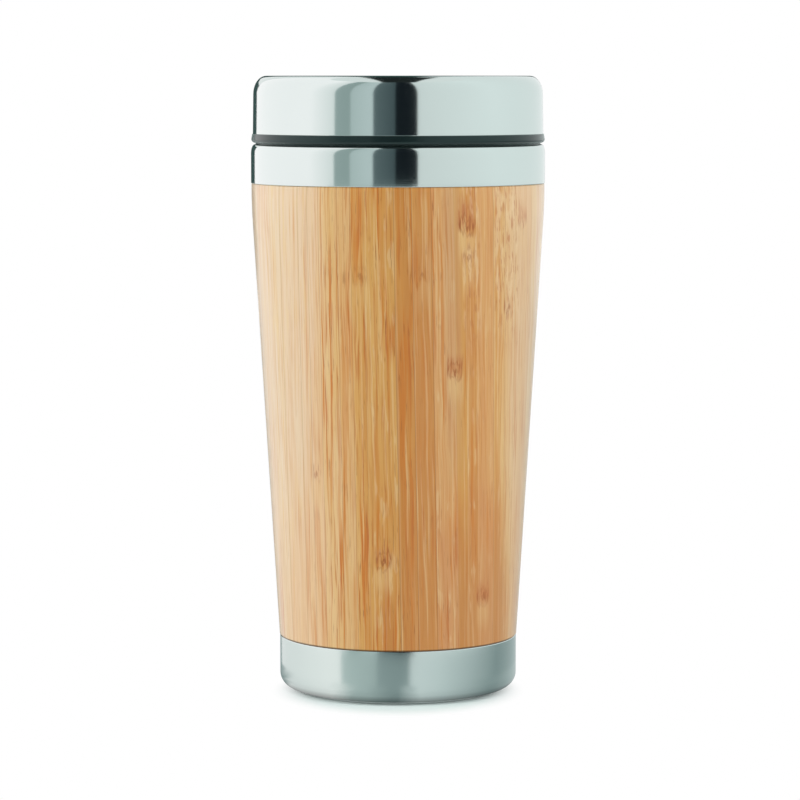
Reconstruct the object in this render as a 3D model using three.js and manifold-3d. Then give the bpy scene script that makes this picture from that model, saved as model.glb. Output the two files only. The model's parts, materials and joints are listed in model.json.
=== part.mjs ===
// Insulated travel tumbler: a double-walled stainless steel cup in a tapered bamboo sleeve, with a
// steel collar and base, and a push-in lid whose dished steel top carries a sliding sip closure.
// Millimetres, +Z up. The origin is the centre of the foot, on the surface that the tumbler stands on.
// The sip hole faces -Y, and the slider opens towards +Y.

import * as THREE from "three";
import { mergeVertices } from "three/addons/utils/BufferGeometryUtils.js";
import Module from "manifold-3d";

const wasm = await Module();
wasm.setup();

// Driving dimensions: cup

const baseHeight = 15.5; // from the table to the top edge of the base cap
const baseWall = 0.6;
const baseCorner = 4; // outer radius between the base's side and its underside
const footRingWidth = 5.5; // flat steel ring round the foot pad
const padThickness = 1.4;
const padProud = 0.4; // how far the foot pad stands out of the base

const sleeveHeight = 130; // bamboo that shows between the base cap and the collar
const sleeveTopRadius = 41.9;
const sleeveBottomRadius = 34.2;
const sleeveWall = 3;
const sleeveShoulder = 12; // upper stretch that curves from upright into the taper
const upperSpigot = 7; // rebated end of the sleeve inside the collar
const lowerSpigot = 7.5; // rebated end of the sleeve inside the base cap

const collarHeight = 11;
const collarWall = 0.6;
const collarBend = 0.4; // inner radius of the collar's top edge
const flushStep = 0.1; // the steel stands this far out of the bamboo at the collar, and in at the base

const shellWall = 0.4;
const shellCorner = 3;
const linerWall = 0.5;
const linerFloor = 9; // height of the drinking space's floor
const linerCorner = 6; // inner radius between the liner's floor and its side
const neckGap = 0.4; // air between the liner and the shell at the neck
const floorGap = 2.5; // air between the liner and the shell at the foot
const rimWidth = 3; // flat drinking rim that the liner folds out over the collar

// Driving dimensions: lid

const lipHeight = 2.5; // black lip between the steel cap and the cup
const lipRound = 0.8; // radius of the lip's lower edge
const lipProud = 0.45; // the lip stands this far out of the steel cap
const capHeight = 16.5;
const capWall = 0.5;
const capDraft = 0.15; // the cap is this much narrower at its shoulder than at its foot
const capShoulder = 3.7; // outer radius of the cap's top edge
const capRoll = 2.2; // inner radius of the drinking rim
const dishDepth = 6;
const dishFillet = 2.5;
const capSupport = 2; // thickness of the ring that holds the cap from inside
const supportDrop = 1; // the ring ends this far below the cap's shoulder

const plugDepth = 15;
const plugWall = 2;
const plugLead = 1; // chamfer that guides the plug into the mouth
const mouthSpare = 1.5; // straight mouth below the plug
const deckThickness = 1.8;
const sealDrop = 5; // from the lid's seat to the top of the seal's groove
const sealHeight = 4;
const sealDepth = 1.2; // depth of the groove in the plug
const sealFin = 0.8; // thickness of each lip of the seal

// Driving dimensions: slider and its track

const sliderWidth = 20;
const sliderLength = 26;
const sliderTravel = 15;
const sliderPlate = 1.6; // thickness of the tongue that runs under the track's edge
const sliderRise = 1.1; // the slider's body stands this far out of the track
const trackFront = -28.3; // front end of the track's floor
const trackFloorThickness = 1.5;
const trackWall = 1.2;
const trackEdge = 1; // thickness of the track's overhanging edge
const trackOverhang = 2; // how far that edge reaches over the tongue
const trimWidth = 1.5; // the trim reaches this far over the steel
const trimHeight = 0.9;
const gripLength = 7;
const gripWidth = 13;
const gripCrest = 1.5; // radius of the thumb grip's top
const gripInset = 3; // from the slider's rear end to the thumb grip
const gripBelowRim = 1; // the thumb grip ends this far below the drinking rim
const sipLength = 12;
const sipWidth = 7;
const sipSetback = 3.8; // from the track's front end to the sip hole
const ventRadius = 1.2;
const ventSpacing = 1.8; // land between the sip hole and the vent
const padMargin = 1.6; // the slider's seal reaches this far past the holes
const sliderSealThickness = 1;
const sealStandOut = 0.2; // the slider's seal stands this far out of the slider

// Clearances

const fitGap = 0.3; // between pieces that are pushed or glued together
const plugGap = 0.5; // between the plug and the mouth
const runGap = 0.3; // between the slider and its track
const underGap = 0.5; // between the slider and the track's floor

// Facets

const ROUND = 48; // sides of a turned piece
const BEND = 4; // steps of a rounded edge
const END = 8; // steps of a rounded end

// Heights, from the table up

const sleeveTop = baseHeight + sleeveHeight;
const collarTop = sleeveTop + collarHeight;
const seat = collarTop + linerWall; // the lid rests on the liner's folded rim
const lipTop = seat + lipHeight;
const capTop = lipTop + capHeight;
const dishFloor = capTop - dishDepth;
const trimTop = dishFloor + trimHeight;
const plateTop = trimTop - trackEdge - runGap;
const plateBottom = plateTop - sliderPlate;
const trackFloor = plateBottom - underGap;
const deckTop = trackFloor - trackFloorThickness;
const deckBottom = deckTop - deckThickness;
const plugBottom = seat - plugDepth;
const mouthBottom = plugBottom - mouthSpare;
const shellBottom = padThickness + baseWall;
const shellTop = collarTop - collarWall;

// Radii

const collarRadius = sleeveTopRadius + flushStep;
const baseRadius = sleeveBottomRadius - flushStep;
const padRadius = baseRadius - baseCorner - footRingWidth;
const lipRadius = collarRadius - flushStep;
const capFootRadius = lipRadius - lipProud;
const capShoulderRadius = capFootRadius - capDraft;
const collarBore = collarRadius - collarWall - fitGap;
const collarEdge = collarBend + collarWall; // outer radius of the collar's top edge
const baseBore = baseRadius - baseWall - fitGap;

// The sleeve's bore is a straight cone, and the shell and the liner's neck follow it
function boreRadius(z) {
  const top = sleeveTopRadius - sleeveWall;
  const bottom = sleeveBottomRadius - sleeveWall;
  return bottom + ((top - bottom) * (z - baseHeight)) / sleeveHeight;
}

function shellRadius(z) {
  return boreRadius(z) - fitGap;
}

const mouthRadius = shellRadius(mouthBottom) - shellWall - neckGap - linerWall;
const plugRadius = mouthRadius - plugGap;
const grooveRadius = plugRadius - sealDepth;

// Plan of the slider and its track

const trackWidth = sliderWidth + 2 * runGap;
const trackLength = sliderLength + sliderTravel + 2 * runGap;
const trackBack = trackFront + trackLength;
const sliderFront = trackFront + runGap;
const sliderBack = sliderFront + sliderLength;
const sipFront = trackFront + sipSetback;
const sipBack = sipFront + sipWidth;
const ventCentre = sipBack + ventSpacing + ventRadius;
const sealCentre = (sipFront + ventCentre + ventRadius) / 2;
const sealRadius = sipLength / 2 + padMargin;

// Shape helpers

const at = (radius, z) => new THREE.Vector2(radius, z);

// Points of an arc in a turned profile, by its centre, radius and angles in degrees
function arc(radius, z, size, from, to) {
  const points = [];
  for (let i = 0; i <= BEND; i++) {
    const angle = THREE.MathUtils.degToRad(from + ((to - from) * i) / BEND);
    points.push(at(radius + size * Math.cos(angle), z + size * Math.sin(angle)));
  }
  return points;
}

// A profile that starts and ends on the axis, turned about +Z
function turned(profile) {
  return new THREE.LatheGeometry(profile, ROUND).rotateX(Math.PI / 2);
}

// A profile that closes on itself, turned about +Z
function ring(profile) {
  return turned([...profile, profile[0].clone()]);
}

// A slot outline with round ends along Y, grown outwards by a margin
function slot(width, front, back, margin = 0) {
  const radius = width / 2;
  const outline = new THREE.Shape();
  outline.absarc(0, back - radius, radius + margin, 0, Math.PI);
  outline.absarc(0, front + radius, radius + margin, Math.PI, 2 * Math.PI);
  outline.closePath();
  return outline;
}

function raised(outline, bottom, top) {
  const options = { depth: top - bottom, bevelEnabled: false, curveSegments: END };
  return new THREE.ExtrudeGeometry(outline, options).translate(0, 0, bottom);
}

// A closed geometry as a solid that can be joined and cut
function solid(geometry) {
  const bare = geometry.clone();
  bare.deleteAttribute("normal");
  bare.deleteAttribute("uv");
  const merged = mergeVertices(bare, 1e-4);
  const mesh = new wasm.Mesh({
    numProp: 3,
    vertProperties: merged.attributes.position.array,
    triVerts: new Uint32Array(merged.index.array),
  });
  return new wasm.Manifold(mesh);
}

function shaped(manifold) {
  const mesh = manifold.getMesh();
  const geometry = new THREE.BufferGeometry();
  geometry.setAttribute("position", new THREE.BufferAttribute(mesh.vertProperties, 3));
  geometry.setIndex(new THREE.BufferAttribute(mesh.triVerts, 1));
  geometry.computeVertexNormals();
  return geometry;
}

// The sip hole lies across the lid, and the vent behind it
function sipHole(bottom, top) {
  const outline = slot(sipWidth, -sipLength / 2, sipLength / 2);
  const middle = (sipFront + sipBack) / 2;
  return solid(raised(outline, bottom, top).rotateZ(Math.PI / 2).translate(0, middle, 0));
}

function ventHole(bottom, top) {
  const outline = new THREE.Shape().absarc(0, ventCentre, ventRadius, 0, 2 * Math.PI);
  return solid(raised(outline, bottom, top));
}

// Cup

function footPad() {
  return turned([at(0, 0), at(padRadius, 0), at(padRadius, padThickness), at(0, padThickness)]);
}

function baseCap() {
  const recess = padRadius + fitGap;
  const flat = baseRadius - baseCorner;
  const bend = padProud + baseCorner;
  return turned([
    at(0, padThickness),
    at(recess, padThickness),
    at(recess, padProud),
    ...arc(flat, bend, baseCorner, -90, 0),
    at(baseRadius, baseHeight),
    at(baseRadius - baseWall, baseHeight),
    ...arc(flat, bend, baseCorner - baseWall, 0, -90),
    at(recess + baseWall, padProud + baseWall),
    at(recess + baseWall, shellBottom),
    at(0, shellBottom),
  ]);
}

function outerShell() {
  const bend = shellBottom + shellCorner;
  const corner = shellRadius(bend) - shellCorner;
  const flange = collarRadius - collarEdge - fitGap; // held under the collar
  return turned([
    at(0, shellBottom),
    ...arc(corner, bend, shellCorner, -90, 0),
    at(shellRadius(shellTop), shellTop - shellWall),
    at(flange, shellTop - shellWall),
    at(flange, shellTop),
    at(shellRadius(shellTop) - shellWall, shellTop),
    ...arc(corner, bend, shellCorner - shellWall, 0, -90),
    at(0, shellBottom + shellWall),
  ]);
}

function innerLiner() {
  const bend = linerFloor + linerCorner;
  const footRadius = shellRadius(bend) - shellWall - floorGap - linerWall;
  const corner = footRadius - linerCorner;
  return turned([
    at(0, linerFloor - linerWall),
    ...arc(corner, bend, linerCorner + linerWall, -90, 0),
    at(mouthRadius + linerWall, mouthBottom),
    at(mouthRadius + linerWall, collarTop),
    at(mouthRadius + rimWidth, collarTop),
    at(mouthRadius + rimWidth, seat),
    at(mouthRadius, seat),
    at(mouthRadius, mouthBottom),
    ...arc(corner, bend, linerCorner, 0, -90),
    at(0, linerFloor),
  ]);
}

function bambooSleeve() {
  const lowEnd = baseHeight - lowerSpigot;
  const highEnd = sleeveTop + upperSpigot;
  const turn = sleeveTop - sleeveShoulder / 2;
  const slope = (sleeveTopRadius - sleeveBottomRadius) / (turn - baseHeight);
  const shoulder = new THREE.QuadraticBezierCurve(
    at(sleeveTopRadius - (slope * sleeveShoulder) / 2, turn - sleeveShoulder / 2),
    at(sleeveTopRadius, turn),
    at(sleeveTopRadius, sleeveTop),
  );
  return ring([
    at(boreRadius(lowEnd), lowEnd),
    at(baseBore, lowEnd),
    at(baseBore, baseHeight),
    at(sleeveBottomRadius, baseHeight),
    ...shoulder.getPoints(BEND),
    at(collarBore, sleeveTop),
    at(collarBore, highEnd),
    at(boreRadius(highEnd), highEnd),
  ]);
}

function collarBand() {
  const edge = collarRadius - collarEdge;
  const bend = collarTop - collarEdge;
  return ring([
    at(collarRadius - collarWall, sleeveTop),
    at(collarRadius, sleeveTop),
    ...arc(edge, bend, collarEdge, 0, 90),
    at(mouthRadius + linerWall + fitGap, collarTop),
    at(mouthRadius + linerWall + fitGap, shellTop),
    ...arc(edge, bend, collarBend, 90, 0),
  ]);
}

// Lid

function lidBody() {
  const supportRadius = capShoulderRadius - capWall - fitGap;
  const supportTop = capTop - capShoulder - supportDrop;
  const grooveTop = seat - sealDrop;
  const grooveBottom = grooveTop - sealHeight;
  const moulding = turned([
    at(0, deckBottom),
    at(plugRadius - plugWall, deckBottom),
    at(plugRadius - plugWall, plugBottom),
    at(plugRadius - plugLead, plugBottom),
    at(plugRadius, plugBottom + plugLead),
    at(plugRadius, grooveBottom),
    at(grooveRadius, grooveBottom),
    at(grooveRadius, grooveTop),
    at(plugRadius, grooveTop),
    at(plugRadius, seat),
    ...arc(lipRadius - lipRound, seat + lipRound, lipRound, -90, 0),
    at(capFootRadius, lipTop),
    at(supportRadius, lipTop),
    at(supportRadius, supportTop),
    at(supportRadius - capSupport, supportTop),
    at(supportRadius - capSupport, lipTop),
    at(plugRadius, lipTop),
    at(plugRadius, deckTop),
    at(0, deckTop),
  ]);
  const below = deckBottom - deckThickness;
  const above = deckTop + deckThickness;
  return shaped(solid(moulding).subtract(sipHole(below, above)).subtract(ventHole(below, above)));
}

function lidCap() {
  const crest = capShoulderRadius - capShoulder;
  const wall = crest - capRoll; // inner wall of the dish
  const under = dishFloor - capWall;
  const pressing = turned([
    at(0, under),
    ...arc(wall - dishFillet, dishFloor + dishFillet, dishFillet + capWall, -90, 0),
    ...arc(crest, capTop - capRoll, capRoll - capWall, 180, 90),
    ...arc(crest, capTop - capShoulder, capShoulder - capWall, 90, 0),
    at(capFootRadius - capWall, lipTop),
    at(capFootRadius, lipTop),
    ...arc(crest, capTop - capShoulder, capShoulder, 0, 90),
    ...arc(crest, capTop - capRoll, capRoll, 90, 180).slice(1),
    ...arc(wall - dishFillet, dishFloor + dishFillet, dishFillet, 0, -90),
    at(0, dishFloor),
  ]);
  const opening = slot(trackWidth, trackFront, trackBack, trackWall + fitGap);
  return shaped(solid(pressing).subtract(solid(raised(opening, under - capWall, trimTop))));
}

function lidSeal() {
  const bottom = seat - sealDrop - sealHeight;
  const top = seat - sealDrop - fitGap;
  const tip = mouthRadius - fitGap;
  return ring([
    at(grooveRadius + fitGap, bottom),
    at(tip, bottom),
    at(tip, bottom + sealFin),
    at(plugRadius - fitGap, bottom + 2 * sealFin),
    at(plugRadius - fitGap, top - 2 * sealFin),
    at(tip, top - sealFin),
    at(tip, top),
    at(grooveRadius + fitGap, top),
  ]);
}

function sliderTrack() {
  const tub = slot(trackWidth, trackFront, trackBack, trackWall);
  const trim = slot(trackWidth, trackFront, trackBack, trackWall + trimWidth);
  const run = slot(trackWidth, trackFront, trackBack);
  const mouth = slot(trackWidth, trackFront, trackBack, -trackOverhang);
  const below = deckTop - trackFloorThickness;
  const above = trimTop + trackEdge;
  return shaped(
    solid(raised(tub, deckTop, trimTop))
      .add(solid(raised(trim, dishFloor, trimTop)))
      .subtract(solid(raised(run, trackFloor, trimTop - trackEdge)))
      .subtract(solid(raised(mouth, plateTop, above)))
      .subtract(sipHole(below, plateBottom))
      .subtract(ventHole(below, plateBottom)),
  );
}

// Slider

const sliderSealTop = plateBottom - sealStandOut + sliderSealThickness;

function sliderSealOutline(margin) {
  return new THREE.Shape().absarc(0, sealCentre, sealRadius + margin, 0, 2 * Math.PI);
}

// A rounded ridge across the slider, for the thumb
function thumbGrip(bottom) {
  const top = capTop - gripBelowRim;
  const half = gripLength / 2;
  const side = new THREE.Shape();
  side.moveTo(-half, bottom);
  side.lineTo(half, bottom);
  side.lineTo(gripCrest, top - gripCrest);
  side.absarc(0, top - gripCrest, gripCrest, 0, Math.PI);
  side.lineTo(-half, bottom);
  const options = { depth: gripWidth, bevelEnabled: false, curveSegments: BEND };
  const middle = sliderBack - trackOverhang - gripInset - half;
  return new THREE.ExtrudeGeometry(side, options)
    .translate(0, 0, -gripWidth / 2)
    .rotateX(Math.PI / 2)
    .rotateZ(Math.PI / 2)
    .translate(0, middle, 0);
}

function slider() {
  const plate = slot(sliderWidth, sliderFront, sliderBack);
  const body = slot(sliderWidth, sliderFront, sliderBack, -trackOverhang);
  const bodyTop = trimTop + sliderRise;
  const root = bodyTop - sliderRise; // the grip is rooted inside the body
  return shaped(
    solid(raised(plate, plateBottom, plateTop))
      .add(solid(raised(body, plateBottom, bodyTop)))
      .add(solid(thumbGrip(root)))
      .subtract(solid(raised(sliderSealOutline(fitGap), plateBottom - underGap, sliderSealTop))),
  );
}

function sliderSeal() {
  return raised(sliderSealOutline(0), plateBottom - sealStandOut, sliderSealTop);
}

// Materials

const finish = (color, roughness, metalness) =>
  new THREE.MeshStandardMaterial({ color, roughness, metalness });

const polishedSteel = () => finish(0xd3dad8, 0.14, 1);
const satinSteel = () => finish(0xb9c6c4, 0.34, 1);
const bamboo = () => finish(0xd9a96c, 0.5, 0);
const blackPlastic = () => finish(0x1c2224, 0.38, 0);
const blackRubber = () => finish(0x1a1a1a, 0.8, 0);
const clearSilicone = () => finish(0xd8d8d2, 0.55, 0);

// Assembly

function piece(name, geometry, material) {
  const mesh = new THREE.Mesh(geometry, material);
  mesh.name = name;
  return mesh;
}

const cup = new THREE.Group();
cup.add(
  piece("foot_pad", footPad(), blackRubber()),
  piece("base_cap", baseCap(), satinSteel()),
  piece("outer_shell", outerShell(), satinSteel()),
  piece("inner_liner", innerLiner(), satinSteel()),
  piece("bamboo_sleeve", bambooSleeve(), bamboo()),
  piece("collar_band", collarBand(), polishedSteel()),
);

const closure = new THREE.Group();
closure.add(
  piece("slider", slider(), blackPlastic()),
  piece("slider_seal", sliderSeal(), clearSilicone()),
);

const lid = new THREE.Group();
lid.add(
  piece("lid_body", lidBody(), blackPlastic()),
  piece("lid_cap", lidCap(), polishedSteel()),
  piece("lid_seal", lidSeal(), clearSilicone()),
  piece("slider_track", sliderTrack(), blackPlastic()),
  closure,
);

const tumbler = new THREE.Group();
tumbler.add(cup, lid);

export default tumbler;
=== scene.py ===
"""A travel tumbler: steel cup in a bamboo sleeve, with a steel-topped lid and a sliding sip closure.

Metres, +Z up. The sip hole faces -Y, towards the camera.
"""

import json
import math

import bmesh
import bpy
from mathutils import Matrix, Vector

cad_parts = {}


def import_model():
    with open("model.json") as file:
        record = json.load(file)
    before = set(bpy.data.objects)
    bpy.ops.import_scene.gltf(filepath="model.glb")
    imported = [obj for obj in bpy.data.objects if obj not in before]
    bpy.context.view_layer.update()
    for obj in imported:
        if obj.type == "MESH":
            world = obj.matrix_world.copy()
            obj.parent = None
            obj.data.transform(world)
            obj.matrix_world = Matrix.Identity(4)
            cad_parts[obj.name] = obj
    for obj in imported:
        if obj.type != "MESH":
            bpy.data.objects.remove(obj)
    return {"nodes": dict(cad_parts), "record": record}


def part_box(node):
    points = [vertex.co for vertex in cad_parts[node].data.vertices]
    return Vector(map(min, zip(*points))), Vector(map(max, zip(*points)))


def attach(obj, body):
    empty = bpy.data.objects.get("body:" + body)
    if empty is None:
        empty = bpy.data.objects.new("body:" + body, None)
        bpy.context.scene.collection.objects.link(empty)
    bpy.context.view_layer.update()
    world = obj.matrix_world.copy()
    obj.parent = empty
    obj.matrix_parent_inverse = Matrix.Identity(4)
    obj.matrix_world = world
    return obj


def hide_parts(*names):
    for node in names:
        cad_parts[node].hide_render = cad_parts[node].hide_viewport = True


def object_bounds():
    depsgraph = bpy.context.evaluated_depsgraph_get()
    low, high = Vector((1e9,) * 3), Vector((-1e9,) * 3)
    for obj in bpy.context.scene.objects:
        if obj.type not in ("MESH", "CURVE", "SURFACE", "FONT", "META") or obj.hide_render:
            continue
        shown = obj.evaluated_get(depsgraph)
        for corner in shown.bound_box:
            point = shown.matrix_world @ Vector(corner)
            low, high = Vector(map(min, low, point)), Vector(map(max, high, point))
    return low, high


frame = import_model()
cad_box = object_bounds()

mm = 0.001


# Measures that the frame gives


def reach(node):
    """Outer radius, lowest and highest point of a turned node."""
    low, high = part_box(node)
    return high.x, low.z, high.z


pad_radius, pad_bottom, pad_top = reach("foot_pad")
base_radius, base_bottom, base_top = reach("base_cap")
sleeve_radius, sleeve_bottom, sleeve_top = reach("bamboo_sleeve")
collar_radius, collar_bottom, collar_top = reach("collar_band")
rim_radius, liner_bottom, seat = reach("inner_liner")
lip_radius, plug_bottom, support_top = reach("lid_body")
cap_radius, lip_top, cap_top = reach("lid_cap")
seal_radius, seal_bottom, seal_top = reach("lid_seal")
track_low, track_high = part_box("slider_track")
slider_low, slider_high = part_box("slider")
stopper_low, stopper_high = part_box("slider_seal")

body_of = {}
for body, nodes in frame["record"]["behaviour"]["bodies"].items():
    for node in nodes:
        body_of[node] = body

# Walls, edges and clearances

base_wall = 0.6 * mm
base_corner = 4 * mm
sleeve_foot_radius = 34.2 * mm
sleeve_wall = 3 * mm
sleeve_shoulder = 12 * mm  # upper stretch that curves from upright into the taper
sleeve_edge = 0.25 * mm  # chamfer where the bamboo meets the steel
collar_wall = 0.6 * mm
collar_edge = 1 * mm
collar_edge_tall = 2.6 * mm
collar_hem = 0.2 * mm
liner_wall = 0.5 * mm
liner_corner = 6 * mm
liner_foot_radius = 27.47 * mm
mouth_radius = 37 * mm
mouth_spare = 1.5 * mm  # straight mouth below the lid's plug
cap_wall = 0.5 * mm
cap_draft = 0.15 * mm
cap_shoulder = 3.7 * mm
cap_shoulder_tall = 5.2 * mm
cap_roll = 2.2 * mm
cap_hem = 0.06 * mm
cap_hem_tall = 0.2 * mm
dish_depth = 6 * mm
dish_fillet = 2.5 * mm
dish_flat = cap_radius - cap_draft - cap_shoulder - cap_roll - dish_fillet
fit_gap = 0.3 * mm

# Finely stepped shapes

SIDES = 192  # of a turned piece
BEND = 10  # steps of a rounded edge
END = 40  # steps of a slot's round end
SOFT_ANGLE = 32  # degrees between faces up to which an edge looks round


# Node trees


class Wire:
    """One output of a node. Arithmetic on it adds Math nodes to its tree."""

    def __init__(self, tree, socket=None):
        self.tree = tree
        self.socket = socket

    def node(self, kind, inputs=None, output=0, stops=(), **settings):
        """Adds a node with these settings, ramp stops and socket values; gives one of its outputs."""
        made = self.tree.nodes.new(kind)
        for name, value in settings.items():
            setattr(made, name, value)
        for extra in stops[2:]:
            made.color_ramp.elements.new(extra[0])
        for index, (place, colour) in enumerate(stops):
            made.color_ramp.elements[index].position = place
            made.color_ramp.elements[index].color = (*colour, 1)
        for key, value in (inputs or {}).items():
            if isinstance(value, Wire):
                self.tree.links.new(value.socket, made.inputs[key])
            else:
                made.inputs[key].default_value = value
        return Wire(self.tree, made.outputs[output] if made.outputs else None)

    def out(self, name):
        """Another output of the same node."""
        return Wire(self.tree, self.socket.node.outputs[name])

    def math(self, operation, *others):
        values = dict(enumerate((self, *others)))
        return self.node("ShaderNodeMath", values, operation=operation)

    def __add__(self, other):
        return self.math("ADD", other)

    def __sub__(self, other):
        return self.math("SUBTRACT", other)

    def __rsub__(self, other):
        return self.node("ShaderNodeMath", {0: other, 1: self}, operation="SUBTRACT")

    def __mul__(self, other):
        return self.math("MULTIPLY", other)

    def __truediv__(self, other):
        return self.math("DIVIDE", other)

    __radd__ = __add__
    __rmul__ = __mul__

    def rise(self, low, high):
        """0 below low and 1 above high, with a soft step between; low may be the larger."""
        values = {"Value": self, "From Min": low, "From Max": high}
        return self.node("ShaderNodeMapRange", values, interpolation_type="SMOOTHSTEP")

    def mix(self, first, second):
        """Two colours mixed by this factor."""
        values = {0: self, 6: first, 7: second}
        return self.node("ShaderNodeMix", values, 2, data_type="RGBA")

    def noise(self, x, y, z, detail=2.0):
        """Noise from 0 to 1 at a point whose three numbers are wires or values."""
        point = self.node("ShaderNodeCombineXYZ", {0: x, 1: y, 2: z})
        return self.node("ShaderNodeTexNoise", {"Vector": point, "Scale": 1.0, "Detail": detail})


def place(wire):
    """The three object coordinates of the shaded point."""
    point = wire.node("ShaderNodeTexCoord").out("Object")
    parts = wire.node("ShaderNodeSeparateXYZ", {0: point})
    return parts.out("X"), parts.out("Y"), parts.out("Z")


def finish(name):
    """A new material, its tree and its shader."""
    material = bpy.data.materials.new(name)
    material.use_nodes = True
    tree = material.node_tree
    shader = tree.nodes["Principled BSDF"]
    return material, Wire(tree), shader


def connect(shader, **sockets):
    """Sets or links the shader's sockets; an underscore in a name is a space."""
    for name, value in sockets.items():
        socket = shader.inputs[name.replace("_", " ")]
        if isinstance(value, Wire):
            value.tree.links.new(value.socket, socket)
        else:
            socket.default_value = value


def bumped(wire, height, depth, strength):
    """A normal from a height of 0 to 1 that stands for a depth in metres."""
    values = {"Strength": strength, "Distance": depth, "Height": height}
    return wire.node("ShaderNodeBump", values)


# Finishes

STRIP = 5.2 * mm  # width of one bamboo strip
SHEET_TURN = math.radians(-17)  # where the sheet's grain runs straight up the taper; 0 is the front

# Joints of the cane: turn from the front in degrees, height, width of the strip, length of the flush,
# strength of the flush and of the dark marks
CANE_JOINTS = (
    (27, 134.5 * mm, 5.2 * mm, 12 * mm, 0.9, 1.0),
    (28.5, 126 * mm, 4.4 * mm, 4 * mm, 0.2, 0.6),
    (24, 94.5 * mm, 5.0 * mm, 6 * mm, 0.8, 0.9),
    (50, 111 * mm, 3.6 * mm, 5 * mm, 0.3, 0.6),
    (57, 135 * mm, 4.4 * mm, 8 * mm, 0.5, 0.4),
    (-15, 121 * mm, 4.6 * mm, 4 * mm, 0.1, 0.4),
    (9, 121 * mm, 4.0 * mm, 4 * mm, 0.1, 0.4),
    (-38, 65 * mm, 3.4 * mm, 4 * mm, 0.1, 0.5),
    (-6.5, 41 * mm, 5.0 * mm, 6 * mm, 0.4, 0.9),
    (43, 30 * mm, 4.8 * mm, 6 * mm, 0.8, 0.6),
    (95, 74 * mm, 5.0 * mm, 7 * mm, 0.6, 0.8),
    (140, 118 * mm, 4.6 * mm, 6 * mm, 0.4, 0.7),
    (-150, 88 * mm, 5.0 * mm, 9 * mm, 0.8, 0.9),
    (-100, 40 * mm, 4.4 * mm, 6 * mm, 0.3, 0.7),
)


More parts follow.
